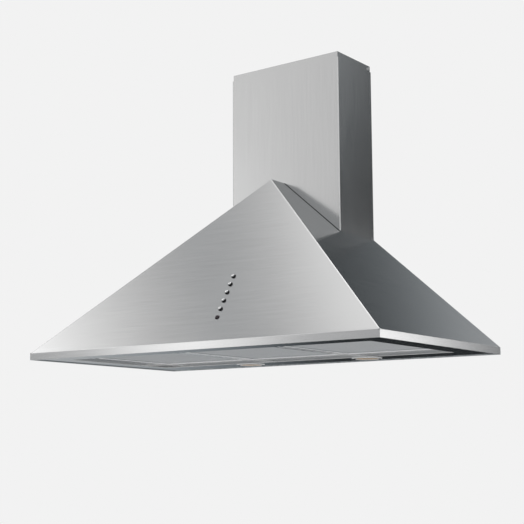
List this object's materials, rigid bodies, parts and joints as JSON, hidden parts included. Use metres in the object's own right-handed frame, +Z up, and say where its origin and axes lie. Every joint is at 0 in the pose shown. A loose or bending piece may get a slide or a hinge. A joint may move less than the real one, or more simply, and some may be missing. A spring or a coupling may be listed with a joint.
{
  "type": "chimney range hood",
  "caption": "Wall-mounted pyramid range hood with a telescopic chimney, hinged mesh filters, round lamps, push buttons and a scroll blower with duct outlet.",
  "frame": {"origin": "on the plane under the rim, midway across the hood and midway between its front edge and the wall", "axes": "+X across the hood to its right, +Y towards the wall, +Z up along the chimney"},
  "size_m": [0.9, 0.5, 0.69],
  "materials": {
    "brushed_stainless": "sheet steel with a fine straight brushed grain",
    "galvanised_steel": "zinc-coated folded sheet",
    "screw_steel": "bright zinc-plated screws",
    "filter_aluminium": "satin anodised extruded frame",
    "filter_mesh": "layers of expanded aluminium mesh",
    "latch_grey": "fine-grained moulded plastic",
    "bezel_chrome": "polished plated ring",
    "lamp_glass": "warm-tinted frosted lens",
    "lamp_reflector": "bright spun reflector",
    "lamp_bulb": "clear capsule with ceramic base",
    "pilot_lens": "dark red translucent moulding",
    "button_chrome": "polished plated plastic",
    "switch_black": "black moulded plastic",
    "board_green": "glass-fibre circuit board",
    "scroll_grey": "glass-filled moulding",
    "impeller_black": "moulded black plastic",
    "motor_steel": "dark passivated steel can",
    "motor_core": "stacked laminations",
    "bearing_bronze": "sintered bronze bush",
    "shaft_steel": "ground steel",
    "capacitor_white": "white moulded can",
    "box_white": "white moulded plastic",
    "transformer_black": "black potted case"
  },
  "bodies": {
    "canopy": {"blower_deck": "galvanised_steel", "blower_screws": "screw_steel", "cable_gland": "box_white", "capacitor": "capacitor_white", "chimney_lower": "brushed_stainless", "filter_dividers": "galvanised_steel", "front_panel": "brushed_stainless", "inlet_ring_left": "galvanised_steel", "inlet_ring_right": "galvanised_steel", "lamp_bezel_left": "bezel_chrome", "lamp_bezel_right": "bezel_chrome", "lamp_bulb_left": "lamp_bulb", "lamp_bulb_right": "lamp_bulb", "lamp_glass_left": "lamp_glass", "lamp_glass_right": "lamp_glass", "lamp_reflector_left": "lamp_reflector", "lamp_reflector_right": "lamp_reflector", "lamp_transformer": "transformer_black", "left_panel": "brushed_stainless", "motor_bearings": "bearing_bronze", "motor_can": "motor_steel", "motor_end_cap": "motor_steel", "motor_spider": "galvanised_steel", "motor_stator": "motor_core", "outlet_spigot": "galvanised_steel", "pilot_lens": "pilot_lens", "push_switches": "switch_black", "rear_panel": "galvanised_steel", "right_panel": "brushed_stainless", "rim_band": "brushed_stainless", "scroll_half_left": "scroll_grey", "scroll_half_right": "scroll_grey", "spigot_screws": "screw_steel", "switch_board": "board_green", "switch_case": "switch_black", "terminal_box": "box_white", "terminal_lid": "box_white", "underside_tray": "brushed_stainless"},
    "fan_rotor": {"impeller": "impeller_black", "motor_rotor": "motor_core", "motor_shaft": "shaft_steel"},
    "filter_left": {"filter_frame_left": "filter_aluminium", "filter_mesh_left": "filter_mesh"},
    "latch_left": {"filter_latch_left": "latch_grey"},
    "filter_centre": {"filter_frame_centre": "filter_aluminium", "filter_mesh_centre": "filter_mesh"},
    "latch_centre": {"filter_latch_centre": "latch_grey"},
    "filter_right": {"filter_frame_right": "filter_aluminium", "filter_mesh_right": "filter_mesh"},
    "latch_right": {"filter_latch_right": "latch_grey"},
    "button_light": {"button_light": "button_chrome"},
    "button_speed_3": {"button_speed_3": "button_chrome"},
    "button_speed_2": {"button_speed_2": "button_chrome"},
    "button_speed_1": {"button_speed_1": "button_chrome"},
    "button_off": {"button_off": "button_chrome"},
    "flap_front": {"flap_front": "galvanised_steel"},
    "flap_rear": {"flap_rear": "galvanised_steel"},
    "upper_chimney": {"chimney_upper": "brushed_stainless", "chimney_bracket": "galvanised_steel", "chimney_screws": "screw_steel"}
  },
  "joints": [
    {"name": "fan_spin", "type": "hinge", "parent": "canopy", "child": "fan_rotor", "pos_m": [0, 0.111, 0.15], "axis": [1, 0, 0], "continuous": true},
    {"name": "filter_left_swing", "type": "hinge", "parent": "canopy", "child": "filter_left", "pos_m": [-0.25933, 0.1515, 0.009], "axis": [1, 0, 0], "range_deg": [0, 60]},
    {"name": "latch_left_slide", "type": "slide", "parent": "filter_left", "child": "latch_left", "axis": [0, 1, 0], "range_m": [0, 0.0075], "stiffness_N_per_m": 200, "springref_m": -0.004},
    {"name": "filter_centre_swing", "type": "hinge", "parent": "canopy", "child": "filter_centre", "pos_m": [0, 0.1515, 0.009], "axis": [1, 0, 0], "range_deg": [0, 60]},
    {"name": "latch_centre_slide", "type": "slide", "parent": "filter_centre", "child": "latch_centre", "axis": [0, 1, 0], "range_m": [0, 0.0075], "stiffness_N_per_m": 200, "springref_m": -0.004},
    {"name": "filter_right_swing", "type": "hinge", "parent": "canopy", "child": "filter_right", "pos_m": [0.25933, 0.1515, 0.009], "axis": [1, 0, 0], "range_deg": [0, 60]},
    {"name": "latch_right_slide", "type": "slide", "parent": "filter_right", "child": "latch_right", "axis": [0, 1, 0], "range_m": [0, 0.0075], "stiffness_N_per_m": 200, "springref_m": -0.004},
    {"name": "button_light_press", "type": "slide", "parent": "canopy", "child": "button_light", "axis": [0, 0.7895, -0.6138], "range_m": [0, 0.0025], "stiffness_N_per_m": 700, "springref_m": -0.0015},
    {"name": "button_speed_3_press", "type": "slide", "parent": "canopy", "child": "button_speed_3", "axis": [0, 0.7895, -0.6138], "range_m": [0, 0.0025], "stiffness_N_per_m": 700, "springref_m": -0.0015},
    {"name": "button_speed_2_press", "type": "slide", "parent": "canopy", "child": "button_speed_2", "axis": [0, 0.7895, -0.6138], "range_m": [0, 0.0025], "stiffness_N_per_m": 700, "springref_m": -0.0015},
    {"name": "button_speed_1_press", "type": "slide", "parent": "canopy", "child": "button_speed_1", "axis": [0, 0.7895, -0.6138], "range_m": [0, 0.0025], "stiffness_N_per_m": 700, "springref_m": -0.0015},
    {"name": "button_off_press", "type": "slide", "parent": "canopy", "child": "button_off", "axis": [0, 0.7895, -0.6138], "range_m": [0, 0.0025], "stiffness_N_per_m": 700, "springref_m": -0.0015},
    {"name": "flap_front_swing", "type": "hinge", "parent": "canopy", "child": "flap_front", "pos_m": [0, 0.1745, 0.282], "axis": [-1, 0, 0], "range_deg": [0, 80]},
    {"name": "flap_rear_swing", "type": "hinge", "parent": "canopy", "child": "flap_rear", "pos_m": [0, 0.1815, 0.282], "axis": [1, 0, 0], "range_deg": [0, 80]},
    {"name": "chimney_extend", "type": "slide", "parent": "canopy", "child": "upper_chimney", "axis": [0, 0, 1], "range_m": [0, 0.3]}
  ]
}
